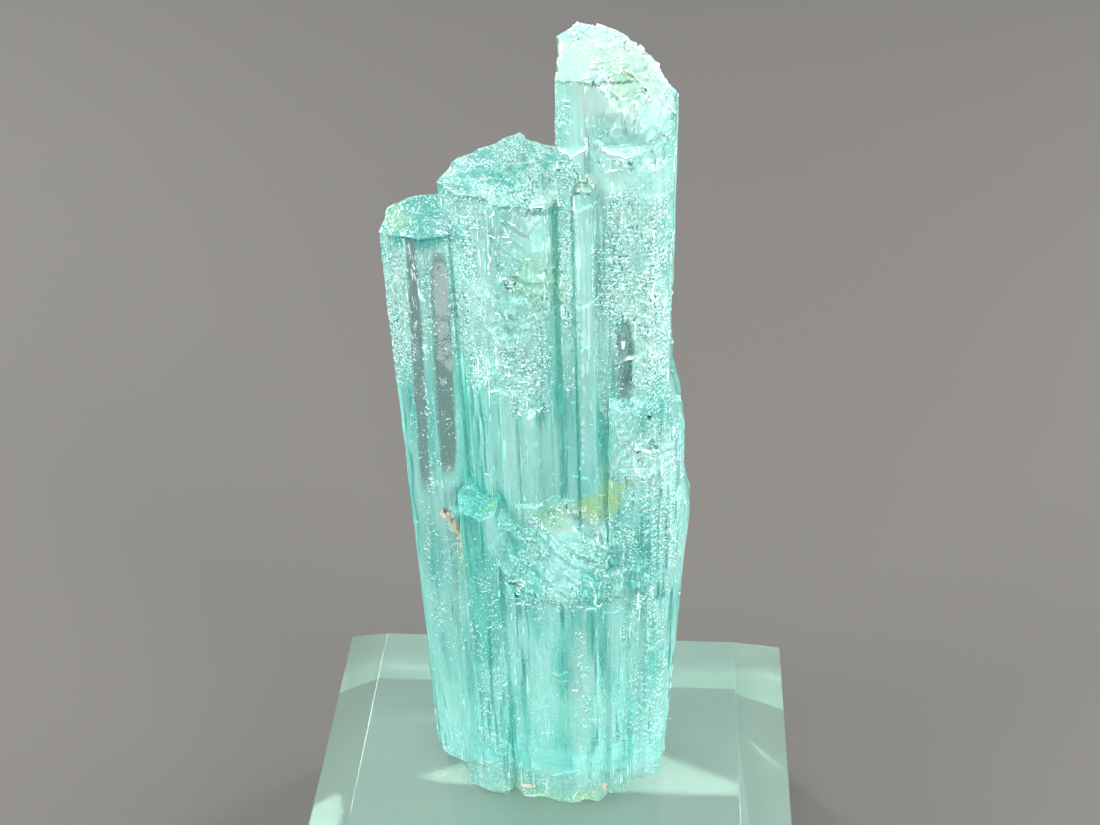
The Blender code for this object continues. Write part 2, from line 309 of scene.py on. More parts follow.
def growth_line_group() -> bpy.types.NodeTree:
    """Fine upright growth lines, as a height.

    Returns:
        The group: it takes a place and a pitch, and gives a height from 0 to 1.
    """
    group, tree, given, result = new_group(
        "growth_lines",
        {"Place": (VECTOR, None), "Lines per mm": (FLOAT, 3.0)},
        {"Height": FLOAT},
    )
    per_metre = tree.math("MULTIPLY", given.outputs["Lines per mm"], PER_METRE)
    scale = tree.add("VectorMath", operation="SCALE")
    tree.feed(scale.inputs[0], given.outputs["Place"])
    tree.feed(scale.inputs["Scale"], per_metre)
    long_lines = tree.noise(tree.stretched(scale.outputs[0], (1.0, 1.0, 0.02)), 0.45, 1.0, 0.5)
    short_lines = tree.noise(tree.stretched(scale.outputs[0], (1.0, 1.0, 0.06)), 1.15, 1.0, 0.6)
    height = tree.math("MULTIPLY", long_lines, 0.5)
    tree.feed(result.inputs["Height"], tree.math("MULTIPLY_ADD", short_lines, 0.5, height))
    return group


def etch_group() -> bpy.types.NodeTree:
    """Small pits and crinkles of an etched or broken surface, as a height.

    Returns:
        The group: it takes a place and a count per millimetre, and gives a height from 0 to 1.
    """
    group, tree, given, result = new_group(
        "etched_surface",
        {"Place": (VECTOR, None), "Pits per mm": (FLOAT, 3.0)},
        {"Height": FLOAT},
    )
    per_metre = tree.math("MULTIPLY", given.outputs["Pits per mm"], PER_METRE)
    scale = tree.add("VectorMath", operation="SCALE")
    tree.feed(scale.inputs[0], given.outputs["Place"])
    tree.feed(scale.inputs["Scale"], per_metre)
    place = tree.stretched(scale.outputs[0], (1.0, 1.0, 0.6))
    bend = tree.add("TexNoise")
    tree.feed(bend.inputs["Vector"], place)
    tree.feed(bend.inputs["Scale"], 0.6)
    tree.feed(bend.inputs["Detail"], 1.0)
    bent = tree.add("VectorMath", operation="MULTIPLY_ADD")
    tree.feed(bent.inputs[0], bend.outputs["Color"])
    tree.feed(bent.inputs[1], (1.8, 1.8, 1.8))
    tree.feed(bent.inputs[2], place)
    cells = tree.add("TexVoronoi", feature="F1")
    tree.feed(cells.inputs["Vector"], bent.outputs[0])
    tree.feed(cells.inputs["Scale"], 0.9)
    tree.feed(result.inputs["Height"], cells.outputs["Distance"])
    return group


@dataclass
class Draft:
    """A new material, with what its finish needs at hand."""

    material: bpy.types.Material
    tree: Tree
    shader: bpy.types.Node
    place: bpy.types.NodeSocket

    @classmethod
    def start(cls, name: str) -> "Draft":
        """Makes a material with its shader and the object's own coordinates.

        Args:
            name: The material's name.

        Returns:
            The draft.
        """
        made = bpy.data.materials.new(name)
        made.use_nodes = True
        tree = Tree(made.node_tree.nodes, made.node_tree.links)
        place = tree.add("TexCoord").outputs["Object"]
        return cls(made, tree, made.node_tree.nodes["Principled BSDF"], place)

    def make_clear(self, index: float, clear: float, absorbs: Colour, density: float) -> None:
        """Lets light through the material, with a plain absorption inside.

        Args:
            index: The index of refraction.
            clear: The share of light that passes the surface.
            absorbs: The colour of the light that comes through.
            density: How strongly the inside absorbs.
        """
        self.shader.inputs["IOR"].default_value = index
        self.shader.inputs["Transmission Weight"].default_value = clear
        inside = self.tree.add("VolumeAbsorption")
        inside.inputs["Color"].default_value = (*absorbs, 1.0)
        inside.inputs["Density"].default_value = density
        end = self.tree.nodes["Material Output"]
        self.tree.links.new(inside.outputs["Volume"], end.inputs["Volume"])


def new_piece(
    name: str, mesh: bmesh.types.BMesh, material: bpy.types.Material
) -> bpy.types.Object:
    """Turns a finished mesh into a piece that rides on the root.

    Args:
        name: The piece's name.
        mesh: Its mesh, which is freed.
        material: Its finish.

    Returns:
        The piece.
    """
    data = bpy.data.meshes.new(name)
    mesh.to_mesh(data)
    mesh.free()
    piece = bpy.data.objects.new(name, data)
    bpy.context.scene.collection.objects.link(piece)
    data.materials.append(material)
    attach(piece, "root")
    return piece


# Finishes.


@dataclass(frozen=True)
class BerylFinish:
    """Clear blue-green beryl.

    The tint is the base colour of clean crystal, and the pale tint is painted light: a bloom that
    whitens the upper ends and some patches. The stain is the colour of its yellow-green films. The
    absorption is plain and the same throughout.
    """

    name: str = "aquamarine_beryl"
    tint: Colour = (0.55, 0.97, 0.92)
    deep_tint: Colour = (0.20, 0.70, 0.62)
    # Painted light: the bloom that whitens the upper ends and some patches.
    painted_bloom_tint: Colour = (0.84, 1.0, 0.94)
    stain: Colour = (0.64, 0.84, 0.36)
    # Partly painted shade: the clear stripes scatter less, and this dark grey also paints in the
    # dark background seen through them.
    clear_and_painted_shade: Colour = (0.24, 0.34, 0.33)
    # Painted highlight: the glint colour put on growth ridges and sugary grains.
    painted_glint: Colour = (0.76, 1.0, 0.96)
    deepest: Colour = (0.07, 0.50, 0.44)
    # Painted shade: the dark colour put in growth grooves and between sugary grains.
    painted_shade: Colour = (0.08, 0.42, 0.39)
    index: float = 1.577
    clear: float = 0.71
    absorbs: Colour = (0.30, 0.93, 0.88)
    density: float = 55.0
    smooth: float = 0.05
    rough: float = 0.26
    roughest: float = 0.36
    line_depth_mm: float = 0.22
    crinkle_depth_mm: float = 0.45
    sugar_depth_mm: float = 0.32
    lines_per_mm: float = 3.0
    pits_per_mm: float = 1.5
    grains_per_metre: Point = (7400.0, 7400.0, 4800.0)
    # Painted glints and painted shade on the sugary grains, by the grain's height.
    painted_grain_glint: tuple[float, float] = (0.53, 0.60)
    painted_grain_shade: tuple[float, float] = (0.47, 0.40)
    # Painted highlight on the growth ridges and painted shade in their grooves, by the growth-line
    # height.
    painted_ridge_highlight: tuple[float, ...] = (0.55, 0.64, 0.0, 0.6)
    painted_groove_shade: tuple[float, ...] = (0.45, 0.37, 0.0, 0.9)
    film_mottle: tuple[float, ...] = (0.30, 0.62, 0.35, 1.0)
    calmed: float = 0.85

    def make(self, lines: bpy.types.NodeTree, etch: bpy.types.NodeTree) -> bpy.types.Material:
        """Builds the material.

        Args:
            lines: The growth-line group.
            etch: The etched-surface group.

        Returns:
            The material.
        """
        draft = Draft.start(self.name)
        tree, place = draft.tree, draft.place
        trait = {
            kind: tree.add("Attribute", attribute_name=kind.value).outputs["Fac"] for kind in Trait
        }
        growth = tree.add("Group", node_tree=lines)
        tree.feed(growth.inputs["Lines per mm"], self.lines_per_mm)
        crinkles = tree.add("Group", node_tree=etch)
        tree.feed(crinkles.inputs["Pits per mm"], self.pits_per_mm)
        for relief in (growth, crinkles):
            tree.feed(relief.inputs["Place"], place)
        ridge = growth.outputs["Height"]
        grain = tree.noise(tree.stretched(place, self.grains_per_metre), 1.0, 1.0, 0.6)
        # The sugary grains' painted glints and painted shade, from the same grain that makes their
        # bump.
        light, dark = tree.ramp(grain, *self.painted_grain_glint), tree.ramp(grain, *self.painted_grain_shade)
        sugar, broken = trait[Trait.SUGAR], trait[Trait.BROKEN]
        quiet = tree.math("MULTIPLY_ADD", trait[Trait.CALM], -self.calmed, 1.0)
        sound = tree.math("MULTIPLY", tree.math("SUBTRACT", 1.0, broken, clamp=True), quiet)
        film = tree.ramp(tree.noise(place, 1500.0, 2.0, 0.7), *self.film_mottle)

        layers = (
            (trait[Trait.TONE], self.deep_tint),
            (trait[Trait.DEEP], self.deepest),
            # Painted highlight on the growth ridges and painted shade in the grooves, from the same
            # height as their bump.
            (tree.math("MULTIPLY", tree.ramp(ridge, *self.painted_ridge_highlight), sound), self.painted_glint),
            (tree.math("MULTIPLY", tree.ramp(ridge, *self.painted_groove_shade), sound), self.painted_shade),
            # Painted light bloom: the upper ends and some patches are whitened.
            (trait[Trait.PALE], self.painted_bloom_tint),
            (tree.math("MULTIPLY", trait[Trait.STAIN], film, clamp=True), self.stain),
            # Clear stripes get a dark grey: less scatter, plus painted shade of the background seen
            # through them.
            (trait[Trait.CLEAR], self.clear_and_painted_shade),
            # Painted shade and painted glints on the sugary grains.
            (tree.math("MULTIPLY", dark, sugar), self.painted_shade),
            (tree.math("MULTIPLY", light, sugar), self.painted_glint),
        )
        colour: object = self.tint
        for share, tint in layers:
            colour = tree.mix(share, colour, tint)
        tree.feed(draft.shader.inputs["Base Color"], colour)

        dull = tree.math("MULTIPLY_ADD", broken, self.rough, self.smooth)
        between = tree.math("SUBTRACT", 1.0, tree.math("ADD", light, dark))
        matt = tree.math("MULTIPLY", sugar, between)
        frosted = tree.math("MULTIPLY_ADD", matt, self.rough, dull)
        roughness = tree.math("MINIMUM", frosted, self.roughest)
        tree.feed(draft.shader.inputs["Roughness"], roughness)

        reliefs = (
            (self.line_depth_mm, ridge, quiet),
            (self.crinkle_depth_mm, crinkles.outputs["Height"], broken),
            (self.sugar_depth_mm, grain, sugar),
        )
        normal = None
        for depth_mm, height, share in reliefs:
            bump = tree.add("Bump")
            tree.feed(bump.inputs["Strength"], 1.0)
            tree.feed(bump.inputs["Distance"], depth_mm * MM)
            tree.feed(bump.inputs["Height"], tree.math("MULTIPLY", height, share))
            if normal:
                tree.links.new(normal, bump.inputs["Normal"])
            normal = bump.outputs["Normal"]
        tree.links.new(normal, draft.shader.inputs["Normal"])
        draft.make_clear(self.index, self.clear, self.absorbs, self.density)
        return draft.material


@dataclass(frozen=True)
class AcrylicFinish:
    """Polished clear acrylic with a faint green cast and a faint haze."""

    name: str = "clear_acrylic"
    tint: Colour = (0.69, 0.90, 0.81)
    hazy_tint: Colour = (0.62, 0.87, 0.76)
    index: float = 1.491
    clear: float = 0.88
    absorbs: Colour = (0.80, 0.95, 0.90)
    density: float = 12.0
    smooth: float = 0.03
    hazier: float = 0.05
    hazes_per_metre: float = 260.0

    def make(self) -> bpy.types.Material:
        """Builds the material.

        Returns:
            The material.
        """
        draft = Draft.start(self.name)
        tree, shader = draft.tree, draft.shader
        haze = tree.noise(draft.place, self.hazes_per_metre, 3.0)
        tree.feed(shader.inputs["Base Color"], tree.mix(haze, self.tint, self.hazy_tint))
        roughness = tree.math("MULTIPLY_ADD", haze, self.hazier, self.smooth)
        tree.feed(shader.inputs["Roughness"], roughness)
        draft.make_clear(self.index, self.clear, self.absorbs, self.density)
        return draft.material


# The crystals.


@dataclass(frozen=True)
class Zone:
    """A ragged soft patch in which the surface has some trait, in millimetres."""

    centre: Point
    radii: Point
    amount: float = 1.0
    power: float = 2.0
    lean: float = 0.0

    def holds(self, place: Vector) -> bool:
        """Whether a place, in millimetres, lies inside the zone."""
        off = place - Vector(self.centre)
        return sum(abs(step / radius) ** self.power for step, radius in zip(off, self.radii)) < 1.0

    def weights(self, places: np.ndarray) -> np.ndarray:
        """The zone's amount at each place, which falls off smoothly to its rim.

        Args:
            places: Points in millimetres.

        Returns:
            One value for each point.
        """
        off = places - self.centre
        off[:, 0] -= self.lean * off[:, 2]
        away = np.linalg.norm(off / self.radii, ord=self.power, axis=1)
        share = np.clip((1.0 - away) / ZONE_RIM, 0.0, 1.0)
        return self.amount * share * share * (3 - 2 * share)


BROKEN_ZONES = (
    Zone((6.9, -0.9, 76.2), (2.9, 2.2, 2.6)),
    Zone((7.2, -1.2, 66.0), (1.9, 1.8, 8.0), 0.45),
    Zone((0.3, -1.2, 64.0), (3.3, 1.8, 3.4), 0.75),
    Zone((-2.0, -0.9, 61.0), (2.6, 1.6, 4.0), 0.5),
    Zone((0.3, -0.9, 57.2), (2.3, 1.6, 1.1), 0.4),
    Zone((7.3, -1.4, 53.5), (3.2, 2.2, 3.6), 0.6),
    Zone((1.8, -2.0, 44.6), (5.6, 2.2, 4.2)),
    Zone((5.8, -1.6, 42.8), (2.2, 1.8, 2.6)),
    Zone((0.5, 0.5, 20.0), (12.0, 5.0, 1.3), 0.8),
)
STAIN_ZONES = (
    Zone((4.9, -1.2, 49.5), (1.6, 1.6, 1.9), 1.0, 4.0, 0.5),
    Zone((2.4, -1.1, 47.9), (2.9, 1.3, 0.7), 0.35, 3.0),
    Zone((-7.9, 2.6, 68.2), (1.1, 2.6, 1.2), 0.28),
    Zone((6.2, 2.0, 77.6), (3.0, 4.0, 1.5), 0.3),
    Zone((3.4, 1.4, 78.3), (1.6, 3.4, 1.5), 0.17, 4.0),
    Zone((3.6, -0.9, 72.2), (1.1, 1.0, 0.6), 0.15),
    Zone((-3.0, -1.2, 47.0), (0.5, 1.2, 2.6), 0.6),
    Zone((-5.0, -1.0, 44.4), (0.35, 1.0, 2.6), 0.7),
    Zone((1.2, -0.9, 66.0), (2.0, 1.5, 2.6), 0.16),
    Zone((1.6, -1.8, 20.2), (6.0, 3.0, 1.6), 0.35, 4.0),
)
CLEAR_ZONES = (
    Zone((-6.75, 0.2, 58.5), (0.43, 1.2, 11.5), 0.95, 6.0, 0.045),
    Zone((-5.1, 0.2, 58.6), (0.64, 1.2, 9.6), 1.0, 6.0, 0.04),
    Zone((6.1, -1.1, 60.0), (0.5, 1.0, 3.8), 0.8, 3.0),
    Zone((0.2, -1.0, 59.4), (1.6, 1.2, 2.4), 0.1),
    Zone((-2.7, -1.0, 61.6), (0.5, 1.2, 2.6), 0.2),
)
CALM_ZONES = (
    Zone((0.1, -1.0, 51.4), (2.5, 1.6, 4.2), 1.0, 5.0),
    Zone((3.85, -1.4, 61.2), (0.62, 1.0, 11.4), 1.0, 8.0),
    Zone((0.2, -0.9, 68.6), (1.9, 1.2, 2.2), 0.9, 3.0),
    Zone((5.5, -1.0, 72.9), (1.1, 1.0, 1.7), 1.0, 3.0),
    Zone((3.5, -0.9, 76.2), (0.45, 1.0, 2.4), 0.8, 8.0),
    Zone((3.4, 1.6, 78.2), (1.5, 3.4, 1.4), 0.9, 4.0),
    Zone((2.6, -1.8, 46.6), (2.0, 1.6, 1.5), 0.8, 3.0),
    Zone((-6.0, -0.2, 30.0), (2.6, 1.6, 9.0), 0.5),
    Zone((1.0, -2.6, 28.0), (3.4, 1.4, 8.0), 0.6),
)
DEEP_ZONES = (
    Zone((-1.6, 3.4, 71.2), (3.6, 3.9, 1.4), 0.7, 5.0),
    Zone((-1.5, 2.4, 71.2), (2.0, 2.2, 1.2), 1.0, 3.0),
    Zone((0.7, 3.6, 71.2), (1.2, 1.6, 1.2), 0.9, 3.0),
    Zone((-5.9, 2.4, 68.0), (4.2, 4.2, 1.2), 1.0, 5.0),
    Zone((-3.4, -0.8, 48.4), (2.0, 2.0, 2.0), 0.8),
    Zone((6.6, -1.2, 74.6), (2.0, 1.2, 0.9), 0.5),
)
SUGAR_ZONES = (
    Zone((2.75, -1.0, 68.0), (0.62, 1.6, 12.0), 0.9, 6.0),
    Zone((6.8, -1.0, 65.0), (2.6, 1.8, 9.5), 1.0, 5.0),
    Zone((-3.5, -0.2, 65.0), (1.5, 1.8, 7.5), 0.9, 5.0),
    Zone((-0.8, -1.0, 59.6), (3.6, 1.8, 3.0), 0.9, 4.0),
    Zone((0.2, -1.0, 64.0), (2.6, 1.8, 2.6), 0.45),
    Zone((0.4, -1.0, 56.9), (2.6, 1.6, 1.2), 0.6),
    Zone((1.8, 0.9, 71.0), (1.1, 1.7, 1.4), 1.0, 4.0),
    Zone((-8.2, 1.2, 62.5), (1.3, 1.8, 7.0), 1.0, 5.0),
    Zone((-5.2, 0.1, 63.5), (1.2, 1.0, 5.0), 0.55),
    Zone((-6.7, 0.2, 55.0), (0.6, 1.0, 9.0), 0.6, 4.0, 0.045),
    Zone((7.6, -1.2, 50.0), (2.9, 2.4, 9.0), 0.75, 4.0),
    Zone((7.6, -1.2, 34.0), (1.7, 2.4, 13.0), 0.5, 4.0),
    Zone((1.2, -2.4, 44.0), (6.4, 2.0, 4.4), 0.6, 4.0),
    Zone((2.6, -1.6, 47.9), (3.8, 1.6, 0.8), 1.0, 4.0),
    Zone((-3.2, -1.6, 33.0), (1.7, 1.6, 13.0), 0.45, 4.0),
    Zone((-6.6, -0.2, 40.0), (1.8, 1.6, 9.0), 0.35, 4.0),
    Zone((3.3, -2.8, 32.0), (1.0, 1.4, 9.0), 0.35, 4.0),
    Zone((0.5, -1.0, 20.6), (11.0, 6.0, 2.0), 0.4, 4.0),
)


@dataclass(frozen=True)
class Shell:
    """A shell-shaped break, whose ripples run in rings about one point, in millimetres."""

    zone: Zone
    origin: Point
    pitch: float
    relief: float


SHELLS = (
    Shell(Zone((0.3, -1.1, 66.3), (3.2, 1.8, 5.2)), (2.6, -1.0, 71.2), 0.85, 0.17),
    Shell(Zone((-1.9, -0.9, 61.2), (2.6, 1.6, 3.6)), (-3.4, -1.0, 64.0), 0.7, 0.12),
    Shell(Zone((6.9, -1.0, 75.0), (3.0, 1.8, 2.8)), (5.6, -1.2, 78.0), 0.75, 0.15),
    Shell(Zone((7.3, -1.2, 63.5), (2.4, 1.8, 5.5)), (9.2, -1.0, 67.5), 0.8, 0.13),
    Shell(Zone((7.4, -1.5, 53.4), (3.2, 2.0, 3.6)), (9.0, -1.2, 51.0), 0.7, 0.15),
    Shell(Zone((1.8, -2.0, 44.2), (5.4, 2.2, 4.2)), (4.6, -2.0, 48.4), 0.95, 0.2),
)
# Where a painted light bloom whitens the crystals: the upper half, the tall crystal's top and some
# patches.
PAINTED_BLOOM_ZONES = (
    Zone((1.0, 0.0, 73.0), (14.0, 9.0, 19.0), 0.32, 5.0),
    Zone((5.8, 2.6, 77.6), (4.6, 6.5, 3.0), 0.95),
    Zone((6.8, -1.0, 72.0), (3.2, 2.0, 6.0), 0.6),
    Zone((5.6, -1.0, 74.0), (1.6, 1.6, 2.4), 0.5),
    Zone((7.2, -1.0, 65.0), (2.4, 1.8, 8.0), 0.65),
    Zone((0.2, -1.0, 68.0), (3.2, 2.4, 2.8), 0.2),
    Zone((1.9, 0.6, 70.9), (1.3, 1.6, 1.2), 1.0),
    Zone((3.7, -1.1, 72.2), (1.0, 1.0, 0.7), 0.9),
    Zone((2.2, -1.4, 47.6), (3.4, 1.3, 1.0), 0.5, 3.0),
    Zone((7.5, -1.2, 53.0), (3.0, 2.2, 3.4), 0.4),
    Zone((-8.4, 1.2, 62.0), (1.0, 1.4, 6.0), 0.4),
    Zone((2.9, -2.6, 32.0), (1.0, 1.4, 9.0), 0.35),
    Zone((0.8, -1.4, 21.0), (11.0, 5.0, 3.6), 0.3, 4.0),
    Zone((0.1, -1.0, 51.6), (2.5, 1.6, 4.6), 0.22, 5.0),
)

# How rough and how sugary the upper ends are, by their place along X in millimetres.
END_ROUGHNESS = ((-9.0, -4.6, -4.0, -1.5, 1.0, 9.0), (0.3, 0.3, 0.45, 0.6, 1.0, 0.9))
END_SUGAR = ((-9.0, -4.6, -4.0, 1.8, 2.4, 9.0), (0.3, 0.3, 1.0, 1.0, 0.5, 0.5))


def ragged(places: np.ndarray, reach_mm: float = 0.9, grain_mm: float = 1.5) -> np.ndarray:
    """Shifts points about, so that the zones found at them have ragged rims.

    Args:
        places: Points in millimetres.
        reach_mm: How far a point may shift.
        grain_mm: The size of the rims' bays.

    Returns:
        The shifted points.
    """
    shifts = [noise.noise_vector(Vector(place) / grain_mm) for place in places]
    return places + reach_mm * np.array(shifts)


@dataclass
class CrystalGroup:
    """The grown-together crystals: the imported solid, cut fine and given its real surface."""

    finish: BerylFinish = field(default_factory=BerylFinish)
    node: str = "aquamarine_crystals"
    name: str = "crystal_surface"
    slice_mm: float = 1.2
    edge_mm: float = 0.36
    fine_edge_mm: float = 0.19
    flatten: float = 0.45
    passes: int = 6
    sharp_angle: float = 24.0
    detail_from_mm: float = 73.5
    ends_from_mm: float = 60.0
    ridges: Relief = Relief("upright", (0.5, 0.5, 18.0), 0.15)
    waves: Relief = Relief("upright", (1.6, 1.6, 4.0), 0.16)
    crags: Relief = Relief("crags", (2.2, 2.2, 1.8), 0.42, 0.35)
    crumple: Relief = Relief("broken", (1.3, 1.3, 1.5), 0.3, 0.3)
    pits: Relief = Relief("pitted", (0.8, 0.8, 1.1), 0.12, 0.6)
    stain_gain: float = 1.8
    clear_gain: float = 2.5
    calmed: float = 0.9

    def build(self) -> bpy.types.Object:
        """Builds and dresses the piece.

        Returns:
            The piece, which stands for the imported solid.
        """
        piece = merged_copy(self.node, self.name)
        self.cut_fine(piece)
        self.carve(piece)
        self.measure(piece)
        pick_only(piece)
        bpy.ops.object.shade_smooth_by_angle(angle=math.radians(self.sharp_angle))
        piece.data.materials.append(self.finish.make(growth_line_group(), etch_group()))
        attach(piece, "root")
        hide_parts(self.node)
        return piece

    def cut_fine(self, piece: bpy.types.Object) -> None:
        """Slices the tall faces and halves every long edge until the mesh can hold the relief.

        Args:
            piece: The merged copy.
        """
        low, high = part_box(self.node)
        pick_only(piece)
        bpy.ops.object.mode_set(mode="EDIT")
        height = low.z + self.slice_mm * MM
        while height < high.z:
            bpy.ops.mesh.select_all(action="SELECT")
            bpy.ops.mesh.bisect(plane_co=(0.0, 0.0, height), plane_no=(0.0, 0.0, 1.0))
            height += self.slice_mm * MM
        bpy.context.tool_settings.mesh_select_mode = (False, True, False)
        for _ in range(self.passes):
            bpy.ops.mesh.select_all(action="DESELECT")
            mesh = bmesh.from_edit_mesh(piece.data)
            found = 0
            for edge in mesh.edges:
                span = edge.verts[1].co - edge.verts[0].co
                span.z *= self.flatten
                middle = (edge.verts[0].co + edge.verts[1].co) / (2.0 * MM)
                limit = self.fine_edge_mm if self.needs_detail(middle) else self.edge_mm
                if span.length > limit * MM:
                    edge.select_set(True)
                    found += 1
            bmesh.update_edit_mesh(piece.data)
            if not found:
                break
            bpy.ops.mesh.subdivide(number_cuts=1)
            bpy.ops.mesh.select_all(action="SELECT")
            bpy.ops.mesh.quads_convert_to_tris(
                quad_method="SHORTEST_DIAGONAL", ngon_method="BEAUTY"
            )
        bpy.ops.object.mode_set(mode="OBJECT")
        log.info("%s: %d faces after cutting", piece.name, len(piece.data.polygons))

    def needs_detail(self, place: Vector) -> bool:
        """Whether a place, in millimetres, lies where the surface is broken or has stripes."""
        if place.z > self.detail_from_mm:
            return True
        return any(zone.holds(place) for zone in BROKEN_ZONES[:-1] + CLEAR_ZONES[:2])

    def carve(self, piece: bpy.types.Object) -> None:
        """Displaces the surface: growth ridges, wavy faces, broken relief and pits.

        Args:
            piece: The fine mesh.
        """
        steady, normals = self.surface(piece)
        places = ragged(steady)
        broken = self.blend(BROKEN_ZONES, places)
        ends = self.upper_ends(places, normals)
        upright = np.clip(1.2 - np.abs(normals[:, 2]) * 3.0, 0.0, 1.0)
        calm = np.maximum(self.blend(CALM_ZONES, steady), self.blend(CLEAR_ZONES, steady))
        weigh(piece, "broken", np.maximum(broken, ends * self.end_roughness(places)))
        weigh(piece, "upright", upright * (1.0 - 0.85 * calm))
        weigh(piece, "pitted", upright * (0.35 + 0.65 * broken))
        weigh(piece, "crags", ends * np.clip((places[:, 0] - 3.6) / 0.8, 0.0, 1.0))
        for number, shell in enumerate(SHELLS):
            weigh(piece, f"shell_{number}", shell.zone.weights(places))

        ridges = noise_texture("ridges", "CLOUDS", noise_scale=1.0, noise_depth=2)
        waves = noise_texture("waves", "CLOUDS", noise_scale=1.0, noise_depth=1)
        scallops = noise_texture(
            "scallops", "VORONOI", noise_scale=1.0, distance_metric="DISTANCE_SQUARED"
        )
        for texture, relief in (
            (ridges, self.ridges),
            (waves, self.waves),
            (scallops, self.crags),
            (scallops, self.crumple),
        ):
            apply_displace(piece, texture, relief)
        rings = noise_texture(
            "rings",
            "WOOD",
            wood_type="RINGNOISE",
            noise_basis_2="SIN",
            noise_scale=1.4,
            turbulence=7.0,
        )
        for number, shell in enumerate(SHELLS):
            grain = shell.pitch * RINGS_PER_UNIT / math.tau
            relief = Relief(
                f"shell_{number}", (grain, grain, grain), shell.relief, origin=shell.origin
            )
            apply_displace(piece, rings, relief)
        pits = noise_texture("pits", "VORONOI", noise_scale=1.0, distance_metric="DISTANCE")
        apply_displace(piece, pits, self.pits)
        piece.vertex_groups.clear()

    def measure(self, piece: bpy.types.Object) -> None:
        """Writes the surface's traits on the mesh, for the finish to read.

        Args:
            piece: The carved mesh.
        """
        steady, normals = self.surface(piece)
        places = ragged(steady)
        ends = self.upper_ends(places, normals)
        deep, clear = self.blend(DEEP_ZONES, places), self.blend(CLEAR_ZONES, steady)
        clear = np.clip(clear * self.clear_gain, 0.0, 1.0) * (normals[:, 2] < 0.5)
        calm = np.maximum(self.blend(CALM_ZONES, steady), clear)
        sound = 1.0 - self.calmed * calm
        patches = self.cloud(steady, (0.9, 0.9, 7.0)) + self.cloud(steady, (1.1, 1.1, 1.6))
        patches = np.clip((patches + 0.25) / 0.5, 0.0, 1.0)
        broken = np.maximum(self.blend(BROKEN_ZONES, places), ends * self.end_roughness(places))
        sugary_ends = ends * np.interp(places[:, 0], *END_SUGAR)
        sugar = np.maximum(self.blend(SUGAR_ZONES, places), sugary_ends)
        tone = np.clip(self.cloud(steady, (1.7, 1.7, 8.0)) * 2.0 + 0.42, 0.0, 1.0)
        traits = {
            Trait.BROKEN: broken * sound,
            Trait.STAIN: np.clip(self.blend(STAIN_ZONES, places) * self.stain_gain, 0.0, 1.0),
            Trait.DEEP: deep,
            # Painted light bloom, left out where the deep tint lies.
            Trait.PALE: self.blend(PAINTED_BLOOM_ZONES, places) * (1.0 - deep),
            Trait.CLEAR: clear,
            Trait.SUGAR: sugar * (0.25 + 0.75 * patches) * sound,
            Trait.CALM: calm,
            Trait.TONE: tone * (1.0 - 0.7 * calm),
        }
        for trait, values in traits.items():
            made = piece.data.attributes.new(trait.value, "FLOAT", "POINT")
            made.data.foreach_set("value", values.astype(np.float32))

    @staticmethod
    def cloud(places: np.ndarray, grain_mm: Point) -> np.ndarray:
        """Smooth noise, from about -0.5 to 0.5, at each place.

        Args:
            places: Points in millimetres.
            grain_mm: The noise's size along X, Y and Z.

        Returns:
            One value for each point.
        """
        return np.array([noise.noise(Vector(place)) for place in places / grain_mm])

    @staticmethod
    def surface(piece: bpy.types.Object) -> tuple[np.ndarray, np.ndarray]:
        """Reads a mesh.

        Args:
            piece: The object to read.

        Returns:
            The vertices' places in millimetres, and their normals.
        """
        count = len(piece.data.vertices)
        places, normals = np.empty(count * 3), np.empty(count * 3, np.float32)
        piece.data.vertices.foreach_get("co", places)
        piece.data.vertex_normals.foreach_get("vector", normals)
        return places.reshape(-1, 3) / MM, normals.reshape(-1, 3).astype(float)

    @staticmethod
    def blend(zones: tuple[Zone, ...], places: np.ndarray) -> np.ndarray:
        """The largest of the zones' amounts at each place."""
        return np.max([zone.weights(places) for zone in zones], axis=0)

    @staticmethod
    def end_roughness(places: np.ndarray) -> np.ndarray:
        """How rough each crystal's upper end is: the left one least, the tall one most.

        Args:
            places: Points in millimetres.

        Returns:
            One value for each point.
        """
        return np.interp(places[:, 0], *END_ROUGHNESS)

    def upper_ends(self, places: np.ndarray, normals: np.ndarray) -> np.ndarray:
        """How far each point belongs to a crystal's upper end.

        Args:
            places: Points in millimetres.
            normals: The surface's directions there.

        Returns:
            One value from 0 to 1 for each point.
        """
        level = np.clip((normals[:, 2] - 0.35) / 0.3, 0.0, 1.0)
        return level * (places[:, 2] > self.ends_from_mm)


# What lies inside.


@dataclass(frozen=True)
class InclusionFinish:
    """The white of fine growth tubes and healed cracks, as seen inside clear crystal, and of the
    painted edge highlights and partly painted glints.
    """

    name: str = "inclusion_and_painted_highlight_white"
    tint: Colour = (0.93, 1.0, 0.98)
    greener: Colour = (0.75, 0.97, 0.93)
    dull: float = 0.35
    patches_per_metre: float = 700.0

    def make(self) -> bpy.types.Material:
        """Builds the material.

        Returns:
            The material.
        """
        draft = Draft.start(self.name)
        tone = draft.tree.noise(draft.place, self.patches_per_metre, 2.0)
        colour = draft.tree.mix(tone, self.tint, self.greener)
        draft.tree.feed(draft.shader.inputs["Base Color"], colour)
        draft.shader.inputs["Roughness"].default_value = self.dull
        return draft.material


@dataclass(frozen=True)
class Core:
    """An upright stretch of sound crystal that inclusions may fill, in millimetres."""

    low: Point
    high: Point
    tubes: int
    flecks: int


